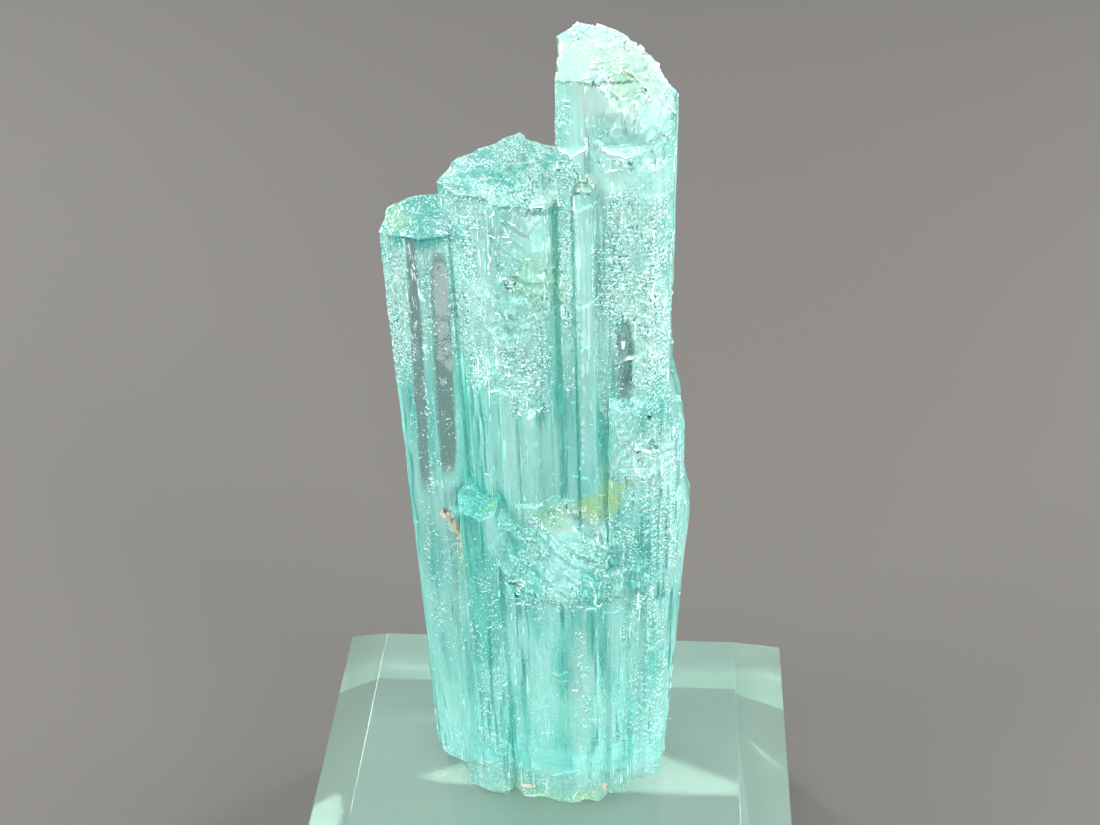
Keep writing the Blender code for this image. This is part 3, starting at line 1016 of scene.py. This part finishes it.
CORES = (
    Core((-8.4, 0.6, 22.0), (-4.2, 5.0, 67.0), 26, 60),
    Core((-4.4, -1.6, 22.0), (2.2, 5.6, 70.0), 90, 190),
    Core((1.6, -1.6, 22.0), (9.2, 5.4, 76.5), 110, 260),
    Core((-4.2, -3.6, 21.5), (6.4, 1.0, 45.0), 90, 170),
    Core((4.2, -3.2, 21.5), (9.8, 3.0, 54.0), 60, 120),
)


@dataclass(frozen=True)
class Crack:
    """A healed crack: a thin white sheet that runs inwards from a line, in millimetres."""

    line: tuple[Point, ...]
    inward: Point
    waves: float = 0.12


CRACKS = (
    Crack(
        (
            (4.5, -0.95, 74.9), (5.2, -0.85, 74.2), (6.2, -0.7, 73.8), (7.2, -0.75, 74.0),
            (8.0, -0.75, 74.6),
        ),
        (0.1, 1.5, 0.1),
    ),
    Crack(((7.1, -0.9, 73.0), (8.0, -0.75, 73.1), (8.8, 0.2, 73.4)), (-0.5, 1.1, -0.1)),
    Crack(((2.5, -0.92, 74.4), (3.2, -0.95, 74.0), (4.2, -0.95, 74.5)), (0.0, 1.1, 0.0)),
    Crack(((2.7, -0.9, 70.7), (3.6, -1.4, 70.8), (4.6, -0.9, 71.1)), (0.1, 0.8, 0.05), 0.05),
    Crack(((6.8, -0.85, 71.6), (7.8, -0.6, 71.3), (8.7, 0.2, 71.2)), (-0.3, 0.6, 0.0), 0.08),
    Crack(((3.2, -1.2, 64.2), (4.0, -1.3, 64.4), (4.9, -0.9, 65.0)), (0.0, 0.5, 0.1), 0.05),
    Crack(((5.3, -0.8, 64.9), (6.6, -0.8, 65.0), (8.3, -0.2, 65.4)), (0.0, 0.7, 0.0), 0.12),
    Crack(((5.6, -0.8, 59.9), (7.2, -0.8, 60.5), (8.4, 0.0, 60.6)), (0.0, 0.6, 0.1), 0.15),
    Crack(
        (
            (-2.6, -0.3, 65.0), (-1.2, -0.7, 64.2), (0.4, -0.5, 64.0), (1.5, -0.3, 64.7),
        ),
        (0.2, 0.6, 0.1), 0.15,
    ),
    Crack(
        (
            (-2.9, -0.2, 62.6), (-1.6, -0.6, 61.6), (0.0, -0.7, 61.9), (1.3, -0.3, 62.6),
        ),
        (0.2, 0.6, 0.0), 0.2,
    ),
    Crack(((-3.6, 0.1, 66.0), (-2.9, -0.1, 64.8), (-2.2, -0.3, 64.0)), (0.3, 0.5, 0.1), 0.15),
    Crack(((-1.2, -0.9, 59.0), (0.0, -0.9, 58.4), (1.4, -0.3, 58.7)), (0.1, 0.7, 0.1), 0.25),
    Crack(((-2.2, -0.6, 57.6), (-0.6, -0.9, 57.4), (0.9, -0.6, 57.9)), (0.0, 0.8, 0.1), 0.3),
    Crack(
        (
            (5.3, -1.2, 52.2), (6.4, -1.3, 51.6), (7.6, -1.3, 51.6), (8.9, -0.5, 52.2),
        ),
        (0.0, 0.6, 0.1), 0.05,
    ),
    Crack(((9.0, -0.4, 52.9), (7.6, -1.2, 53.3), (6.2, -1.25, 53.9)), (0.05, 0.25, 0.1), 0.04),
    Crack(((9.0, -0.3, 53.2), (7.8, -1.1, 54.0), (6.6, -1.2, 55.0)), (0.05, 0.25, 0.1), 0.04),
    Crack(((9.0, -0.3, 53.5), (8.1, -0.9, 54.6), (7.3, -1.1, 56.0)), (0.05, 0.2, 0.1), 0.04),
    Crack(((9.1, -0.2, 52.6), (7.4, -1.25, 52.7), (5.9, -1.3, 52.7)), (0.05, 0.3, 0.1), 0.05),
    Crack(((9.1, 0.0, 53.9), (8.6, -0.5, 55.0), (8.2, -0.7, 56.2)), (0.0, 0.2, 0.1), 0.04),
    Crack(((-5.6, 0.35, 53.5), (-5.0, 0.35, 54.1), (-4.5, 0.45, 54.9)), (0.05, 0.35, 0.1), 0.04),
    Crack(((-1.0, -1.0, 48.5), (-0.2, -1.0, 48.4), (0.7, -0.8, 48.4)), (0.0, 0.7, 0.1), 0.04),
    Crack(((1.0, -2.5, 34.5), (1.5, -2.5, 34.2), (2.1, -2.5, 34.6)), (0.0, 0.35, 0.1), 0.1),
    Crack(((-3.3, 2.2, 70.6), (-1.8, 1.0, 70.5), (-0.4, 0.5, 70.4)), (0.3, 0.8, 0.0), 0.15),
)


@dataclass
class Inclusions:
    """Growth tubes, small flecks and healed cracks, all just under the crystals' faces, with
    painted edge highlights and partly painted glints.
    """

    host: bpy.types.Object
    finish: InclusionFinish = field(default_factory=InclusionFinish)
    name: str = "inclusions_and_painted_highlights"
    seed: int = 11
    tube_mm: tuple[float, float] = (0.012, 0.028)
    length_mm: tuple[float, float] = (0.8, 6.0)
    fleck_mm: tuple[float, float] = (0.03, 0.11)
    depth_mm: tuple[float, float] = (0.12, 2.2)
    sheet_mm: float = 0.06
    # The white edge threads are painted highlights.
    highlight_edge_angle: float = 32.0
    edge_highlight_mm: tuple[float, float] = (0.036, 0.013)
    rim_from_mm: float = 75.2
    rim_behind_mm: float = 2.0
    # Partly painted glints: white etch slivers that stand in for the sparkle of the sugary faces.
    frost_and_glint_count: int = 11400
    frost_and_glint_mm: tuple[float, float] = (0.02, 0.05)
    steps_per_span: int = 7
    strays: tuple[int, ...] = (5, 26, 30, 14, 14)

    def build(self) -> bpy.types.Object:
        """Builds the piece.

        Returns:
            The piece, as one mesh of closed slivers.
        """
        draw = random.Random(self.seed)
        tree = BVHTree.FromObject(self.host, bpy.context.evaluated_depsgraph_get())
        mesh = bmesh.new()
        for core in CORES:
            for place in self.places(draw, tree, core, core.tubes):
                shortest, longest = self.length_mm
                half = 0.5 * draw.uniform(0.0, 1.0) ** 1.6 * (longest - shortest) + 0.5 * shortest
                width = draw.uniform(*self.tube_mm)
                ends = [place + Vector((0.0, 0.0, end)) for end in (-half, half)]
                if all(self.buried(tree, end, width) for end in ends):
                    self.sliver(mesh, place, (width, width, half), draw.uniform(0.0, math.pi))
            for place in self.places(draw, tree, core, core.flecks):
                size = draw.uniform(*self.fleck_mm)
                flat = draw.uniform(0.15, 1.0)
                reach = (size, size * flat, size * draw.uniform(0.4, 1.6))
                self.sliver(mesh, place, reach, draw.uniform(0.0, math.pi))
        for crack in CRACKS + self.stray_cracks(draw, tree):
            self.sheet(mesh, draw, crack)
        # Painted edge highlights along the sharp edges.
        self.paint_edge_highlights(mesh)
        # Frost slivers, partly painted glints.
        self.frost_and_painted_glints(mesh, draw)
        bmesh.ops.recalc_face_normals(mesh, faces=mesh.faces)
        piece = new_piece(self.name, mesh, self.finish.make())
        return piece

    def places(self, draw: random.Random, tree: BVHTree, core: Core, count: int) -> list[Vector]:
        """Draws places under the crystals' faces.

        Args:
            draw: The random source.
            tree: The crystals' surface.
            core: Where to draw.
            count: How many to find.

        Returns:
            The places, in millimetres.
        """
        found: list[Vector] = []
        for _ in range(count * 12):
            place = Vector([draw.uniform(low, high) for low, high in zip(core.low, core.high)])
            if len(found) < count and self.buried(tree, place, self.depth_mm[0], self.depth_mm[1]):
                found.append(place)
        return found

    def paint_edge_highlights(self, mesh: bmesh.types.BMesh) -> None:
        """Lays a fine white thread inside the host's sharp outward edges, broken here and there, as
        a painted edge highlight.

        Args:
            mesh: The mesh to add to.
        """
        host = bmesh.new()
        host.from_mesh(self.host.data)
        for edge in host.edges:
            if len(edge.link_faces) != 2 or not edge.is_convex:
                continue
            one, other = (face.normal for face in edge.link_faces)
            if one.angle(other, 0.0) < math.radians(self.highlight_edge_angle):
                continue
            middle = (edge.verts[0].co + edge.verts[1].co) / (2.0 * MM)
            level = abs(one.z - other.z) > 0.5
            grain = (1.3, 1.3, 1.3 if level else 4.0)
            patch = noise.noise(Vector([spot / size for spot, size in zip(middle, grain)]))
            if patch < (-0.5 if level else 0.05):
                continue
            width = self.edge_highlight_mm[0 if level else 1] * (1.0 + 0.6 * patch)
            if level:
                # Painted rim glow: the tall crystal's top back rim gets threads three times as
                # wide.
                at_rim = middle.z > self.rim_from_mm and middle.y > self.rim_behind_mm
                width *= 3.0 if at_rim else 0.7
            inset = (one + other).normalized() * (width * 1.2 + 0.01)
            ends = [vertex.co / MM - inset for vertex in edge.verts]
            along = (ends[1] - ends[0]).normalized()
            side = along.cross(one + other).normalized() * width
            up = along.cross(side).normalized() * width
            offsets = (side, up, -side, -up)
            rings = [[mesh.verts.new((end + offset) * MM) for offset in offsets] for end in ends]
            for step in range(4):
                there = (step + 1) % 4
                mesh.faces.new((rings[0][step], rings[0][there], rings[1][there], rings[1][step]))
            mesh.faces.new(rings[0][::-1])
            mesh.faces.new(rings[1])
        host.free()

    def frost_and_painted_glints(self, mesh: bmesh.types.BMesh, draw: random.Random) -> None:
        """Scatters short white etch marks over the host's sugary faces, half sunk in them: real
        etch relief, painted white as glints.

        Args:
            mesh: The mesh to add to.
            draw: The random source.
        """
        data = self.host.data
        sugar, clear = (
            [item.value for item in data.attributes[kind.value].data]
            for kind in (Trait.SUGAR, Trait.CLEAR)
        )
        shares = [much**1.5 + 0.05 * sheer for much, sheer in zip(sugar, clear)]
        weights = [face.area * shares[face.vertices[0]] for face in data.polygons]
        for number in draw.choices(range(len(weights)), weights, k=self.frost_and_glint_count):
            face = data.polygons[number]
            width = draw.uniform(*self.frost_and_glint_mm)
            length = width * draw.uniform(1.2, 3.4)
            place = Vector(face.center) / MM - face.normal * width * 0.3
            across = face.normal.orthogonal().normalized()
            turn = Matrix.Rotation(draw.uniform(0.0, math.tau), 3, face.normal)
            along = turn @ across * length
            aside = face.normal.cross(along).normalized() * width
            rise = face.normal * width * 0.8
            steps = (along, aside, -along, -aside, rise, -rise)
            self.diamond(mesh, [place + step for step in steps])

    def stray_cracks(self, draw: random.Random, tree: BVHTree) -> tuple[Crack, ...]:
        """Draws small cracks that lie anywhere under the faces.

        Args:
            draw: The random source.
            tree: The crystals' surface.

        Returns:
            The cracks.
        """
        found = []
        for core, count in zip(CORES, self.strays):
            for place in self.places(draw, tree, core, count):
                half = draw.uniform(0.15, 0.7)
                turn = draw.gauss(0.0, 0.5)
                reach = Vector((math.cos(turn), math.sin(turn), draw.gauss(0.0, 0.35))) * half
                sag = Vector((0.0, 0.0, -0.3 * half * draw.random()))
                line = (tuple(place - reach), tuple(place + sag), tuple(place + reach))
                depth = draw.uniform(0.12, 0.4)
                if not all(self.buried(tree, Vector(end), 0.0) for end in (line[0], line[2])):
                    continue
                inward = (-depth * math.sin(turn), depth, draw.uniform(-0.1, 0.15))
                found.append(Crack(line, inward, 0.1))
        return tuple(found)

    def sheet(self, mesh: bmesh.types.BMesh, draw: random.Random, crack: Crack) -> None:
        """Adds one crack as a closed sheet with a ragged inner rim.

        Args:
            mesh: The mesh to add to.
            draw: The random source.
            crack: The crack.
        """
        phase = draw.uniform(0.0, 50.0)
        inward = Vector(crack.inward)
        rows = []
        spans = len(crack.line) - 1
        steps = spans * self.steps_per_span
        for step in range(steps + 1):
            along = step / steps * spans
            first = min(int(along), spans - 1)
            spot = Vector(crack.line[first]).lerp(Vector(crack.line[first + 1]), along - first)
            spot.z += crack.waves * noise.noise(Vector((along * 2.3, phase, 0.0)))
            taper = math.sin(math.pi * (0.04 + 0.92 * step / steps)) ** 0.5
            reach = taper * (0.75 + 0.6 * noise.noise(Vector((along * 5.1, phase, 3.0))))
            middle = spot + inward * reach * 0.5
            middle.z += crack.waves * noise.noise(Vector((along * 3.7, phase, 7.0)))
            rows.append((spot, middle, spot + inward * reach))
        lift = Vector((0.0, 0.0, 0.5 * self.sheet_mm))
        upper, lower = (
            [[mesh.verts.new((spot + shift) * MM) for spot in row] for row in rows]
            for shift in (lift, -lift)
        )
        for step in range(steps):
            for lane in range(2):
                for layer, way in ((upper, 1), (lower, -1)):
                    here, there = layer[step], layer[step + 1]
                    corner = (here[lane], there[lane], there[lane + 1], here[lane + 1])
                    mesh.faces.new(corner[::way])
            for lane, (one, other) in ((0, (step + 1, step)), (2, (step, step + 1))):
                mesh.faces.new(
                    (upper[one][lane], upper[other][lane], lower[other][lane], lower[one][lane])
                )
        for lane in range(2):
            for end, (one, other) in ((0, (lane, lane + 1)), (-1, (lane + 1, lane))):
                mesh.faces.new(
                    (upper[end][one], upper[end][other], lower[end][other], lower[end][one])
                )

    @staticmethod
    def buried(tree: BVHTree, place: Vector, least_mm: float, most_mm: float = 99.0) -> bool:
        """Whether a place lies inside the crystals and at a depth between two limits."""
        spot, normal, _, distance = tree.find_nearest(place * MM)
        inside = (spot - place * MM).dot(normal) > 0.0
        return inside and least_mm + 0.08 < distance / MM < most_mm

    @classmethod
    def sliver(cls, mesh: bmesh.types.BMesh, place: Vector, reach: Point, turn: float) -> None:
        """Adds one closed eight-sided sliver.

        Args:
            mesh: The mesh to add to.
            place: Its middle, in millimetres.
            reach: Its half width, half depth and half height, in millimetres.
            turn: Its turn about the upright, in radians.
        """
        spin = Matrix.Rotation(turn, 3, "Z")
        wide, deep, tall = (spin @ Vector(row) for row in np.diag(reach).tolist())
        cls.diamond(mesh, [place + step for step in (wide, deep, -wide, -deep, tall, -tall)])

    @staticmethod
    def diamond(mesh: bmesh.types.BMesh, places: list[Vector]) -> None:
        """Adds one closed eight-sided body.

        Args:
            mesh: The mesh to add to.
            places: Four corners around it, then its two ends, in millimetres.
        """
        made = [mesh.verts.new(place * MM) for place in places]
        for step in range(4):
            here, there = made[step], made[(step + 1) % 4]
            mesh.faces.new((here, there, made[4]))
            mesh.faces.new((there, here, made[5]))


# The other mineral.


@dataclass(frozen=True)
class LumpFinish:
    """A pinkish cream mineral with brown seams."""

    name: str = "cream_mineral"
    cream: Colour = (0.43, 0.41, 0.33)
    brown: Colour = (0.13, 0.085, 0.05)
    dull: float = 0.45
    seams_per_metre: Point = (2600.0, 2600.0, 1100.0)
    seam_range: tuple[float, float] = (0.52, 0.62)

    def make(self) -> bpy.types.Material:
        """Builds the material.

        Returns:
            The material.
        """
        draft = Draft.start(self.name)
        tree = draft.tree
        streaks = tree.noise(tree.stretched(draft.place, self.seams_per_metre), 1.0, 3.0)
        seams = tree.ramp(streaks, *self.seam_range)
        tree.feed(draft.shader.inputs["Base Color"], tree.mix(seams, self.cream, self.brown))
        draft.shader.inputs["Roughness"].default_value = self.dull
        return draft.material


@dataclass(frozen=True)
class Lump:
    """One grain of the other mineral, in millimetres."""

    centre: Point
    radii: Point
    lean: float


@dataclass
class OtherMineral:
    """The small grains of another mineral, beside the left crystal and at the foot."""

    finish: LumpFinish = field(default_factory=LumpFinish)
    name: str = "mineral_grains"
    facets: float = 2.2
    cut_share: float = 0.7
    bulge_share: float = 0.18
    grains: tuple[Lump, ...] = (
        Lump((-5.6, -0.2, 46.8), (0.66, 0.36, 0.36), 0.7),
        Lump((-5.2, -0.45, 46.2), (0.34, 0.34, 0.75), -0.3),
        Lump((-4.95, -0.6, 44.9), (0.16, 0.2, 0.9), 0.1),
        Lump((-1.2, -2.2, 21.7), (0.6, 0.26, 0.2), 0.1),
        Lump((4.4, -2.05, 21.7), (0.36, 0.3, 0.28), 0.4),
    )

    def build(self) -> bpy.types.Object:
        """Builds the piece.

        Returns:
            The piece, as one mesh of closed grains.
        """
        mesh = bmesh.new()
        for number, grain in enumerate(self.grains):
            made = bmesh.ops.create_icosphere(mesh, subdivisions=3, radius=1.0)
            lean = Matrix.Rotation(grain.lean, 3, "Y")
            for vertex in made["verts"]:
                cut = Vector([round(value * self.facets) / self.facets for value in vertex.co])
                rough = vertex.co.lerp(cut, self.cut_share)
                bulge = noise.noise(vertex.co * 2.4 + Vector((number * 7.0, 0.0, 0.0)))
                rough *= 1.0 + self.bulge_share * bulge
                reach = Vector([value * size for value, size in zip(rough, grain.radii)])
                vertex.co = (Vector(grain.centre) + lean @ reach) * MM
        return new_piece(self.name, mesh, self.finish.make())


# The display block.


@dataclass
class DisplayBlock:
    """The clear block, with its sharp edges broken as a polished one's are."""

    finish: AcrylicFinish = field(default_factory=AcrylicFinish)
    node: str = "display_block"
    name: str = "block_polished"
    edge_mm: float = 0.06
    segments: int = 3

    def build(self) -> bpy.types.Object:
        """Builds and dresses the piece.

        Returns:
            The piece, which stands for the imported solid.
        """
        piece = merged_copy(self.node, self.name)
        pick_only(piece)
        bpy.ops.object.mode_set(mode="EDIT")
        bpy.ops.mesh.select_all(action="SELECT")
        bpy.ops.mesh.dissolve_limited(angle_limit=math.radians(1.0))
        bpy.ops.object.mode_set(mode="OBJECT")
        modifier = piece.modifiers.new("broken_edges", "BEVEL")
        modifier.width = self.edge_mm * MM
        modifier.segments = self.segments
        modifier.limit_method = "ANGLE"
        modifier.angle_limit = math.radians(20.0)
        bpy.ops.object.modifier_apply(modifier=modifier.name)
        bpy.ops.object.shade_smooth_by_angle(angle=math.radians(35.0))
        piece.data.materials.append(self.finish.make())
        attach(piece, "root")
        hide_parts(self.node)
        return piece


# The studio.


@dataclass(frozen=True)
class Softbox:
    """A flat lamp that points at the crystals. Its brightness is the same whatever its size."""

    name: str
    place_mm: Point
    sides_mm: tuple[float, float]
    brightness: float
    flat: bool = False
    colour: Colour = (1.0, 1.0, 1.0)

    def add(self, target_mm: Point) -> bpy.types.Object:
        """Adds the lamp.

        Args:
            target_mm: The point that it faces.

        Returns:
            The lamp.
        """
        data = bpy.data.lights.new(self.name, "AREA")
        data.shape = "RECTANGLE"
        data.size, data.size_y = self.sides_mm[0] * MM, self.sides_mm[1] * MM
        data.energy = self.brightness * math.pi * data.size * data.size_y
        data.color = self.colour
        lamp = bpy.data.objects.new(self.name, data)
        lamp.location = Vector(self.place_mm) * MM
        ahead = Vector((0.0, 0.0, 1.0)) if self.flat else Vector(target_mm) - Vector(self.place_mm)
        lamp.rotation_euler = ahead.to_track_quat("-Z", "Y").to_euler()
        bpy.context.scene.collection.objects.link(lamp)
        return lamp


@dataclass
class Studio:
    """The floor, the lamps, the world's light and the camera."""

    floor_colour: Colour = (0.075, 0.0695, 0.063)
    world_colour: Colour = (0.95, 0.98, 1.0)
    world_strength: float = 1.0
    floor_side_mm: float = 3000.0
    floor_drop_mm: float = 0.05
    floor_dull: float = 0.7
    target_mm: Point = (0.0, 0.0, 45.0)
    lamps: tuple[Softbox, ...] = (
        Softbox("overhead", (-30.0, 30.0, 330.0), (90.0, 90.0), 15.0),
        Softbox("back_left", (-200.0, 250.0, 230.0), (60.0, 130.0), 32.0),
        Softbox("back_right", (240.0, 190.0, 230.0), (60.0, 130.0), 32.0),
        Softbox("front_left", (-240.0, -150.0, 190.0), (100.0, 160.0), 21.0),
        Softbox("front_right", (210.0, -200.0, 200.0), (100.0, 160.0), 21.0),
        Softbox("side_right", (230.0, 60.0, 75.0), (110.0, 110.0), 9.0),
        Softbox("card_left", (-124.0, -15.0, 1.0), (60.0, 64.0), 7.0, flat=True),
        Softbox("card_right", (90.0, -16.0, 1.0), (50.0, 60.0), 7.0, flat=True),
        Softbox("card_front", (24.0, -94.0, 1.0), (62.0, 30.0), 4.0, flat=True),
    )
    camera_mm: Point = (8.384, -75.683, 114.1)
    camera_right: Point = (0.99722049, 0.06697384, -0.03264668)
    camera_down: Point = (0.01516538, -0.61145109, -0.79113689)
    camera_ahead: Point = (-0.07294732, 0.78844281, -0.61076724)
    focal_px: float = 1528.32
    width_px: float = 1100.0

    def build(self) -> None:
        """Builds the studio around the object."""
        self.add_floor()
        self.add_world()
        for lamp in self.lamps:
            lamp.add(self.target_mm)
        self.add_camera()

    def add_floor(self) -> None:
        """Adds the plain floor, with its top at the height of the block's underside."""
        pick_nothing()
        place = (0.0, 0.0, -self.floor_drop_mm * MM)
        bpy.ops.mesh.primitive_plane_add(size=self.floor_side_mm * MM, location=place)
        floor = bpy.context.active_object
        floor.name = "floor"
        draft = Draft.start("plain_floor")
        tone = draft.tree.noise(draft.place, 40.0, 2.0)
        darker = tuple(value * 0.97 for value in self.floor_colour)
        colour = draft.tree.mix(tone, self.floor_colour, darker)
        draft.tree.feed(draft.shader.inputs["Base Color"], colour)
        draft.shader.inputs["Roughness"].default_value = self.floor_dull
        floor.data.materials.append(draft.material)

    def add_world(self) -> None:
        """Adds an even pale light from all around."""
        world = bpy.data.worlds.new("room")
        world.use_nodes = True
        background = world.node_tree.nodes["Background"]
        background.inputs["Color"].default_value = (*self.world_colour, 1.0)
        background.inputs["Strength"].default_value = self.world_strength
        bpy.context.scene.world = world

    def add_camera(self) -> None:
        """Adds the camera at the photograph's viewing angle."""
        data = bpy.data.cameras.new("camera")
        data.sensor_fit = "HORIZONTAL"
        data.sensor_width = 36.0
        data.lens = self.focal_px / self.width_px * data.sensor_width
        data.clip_start = 0.002
        data.clip_end = 20.0
        camera = bpy.data.objects.new("camera", data)
        columns = (Vector(self.camera_right), -Vector(self.camera_down), -Vector(self.camera_ahead))
        turn = Matrix(columns).transposed().to_4x4()
        camera.matrix_world = Matrix.Translation(Vector(self.camera_mm) * MM) @ turn
        bpy.context.scene.collection.objects.link(camera)
        bpy.context.scene.camera = camera


def set_light_paths() -> None:
    """Lets light pass the many faces of a clear crystal, and keeps its colours as they are."""
    scene = bpy.context.scene
    scene.cycles.max_bounces = 12
    scene.cycles.transmission_bounces = 12
    scene.cycles.glossy_bounces = 6
    scene.cycles.diffuse_bounces = 3
    scene.view_settings.view_transform = "Standard"


def main() -> None:
    """Builds every piece in order and reports it."""
    logging.basicConfig(level=logging.INFO, format="%(name)s: %(message)s")
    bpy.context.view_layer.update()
    crystals = CrystalGroup().build()
    inclusions = Inclusions(crystals).build()
    for piece in (crystals, inclusions, OtherMineral().build(), DisplayBlock().build()):
        log.info("%s: %d faces", piece.name, len(piece.data.polygons))
    Studio().build()
    set_light_paths()


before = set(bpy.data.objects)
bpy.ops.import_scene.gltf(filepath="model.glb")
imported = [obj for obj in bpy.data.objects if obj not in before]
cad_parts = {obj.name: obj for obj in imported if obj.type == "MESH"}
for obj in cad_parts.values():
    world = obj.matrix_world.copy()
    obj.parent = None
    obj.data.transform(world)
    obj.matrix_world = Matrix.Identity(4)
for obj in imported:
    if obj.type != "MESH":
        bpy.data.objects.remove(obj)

if __name__ == "__main__":
    main()
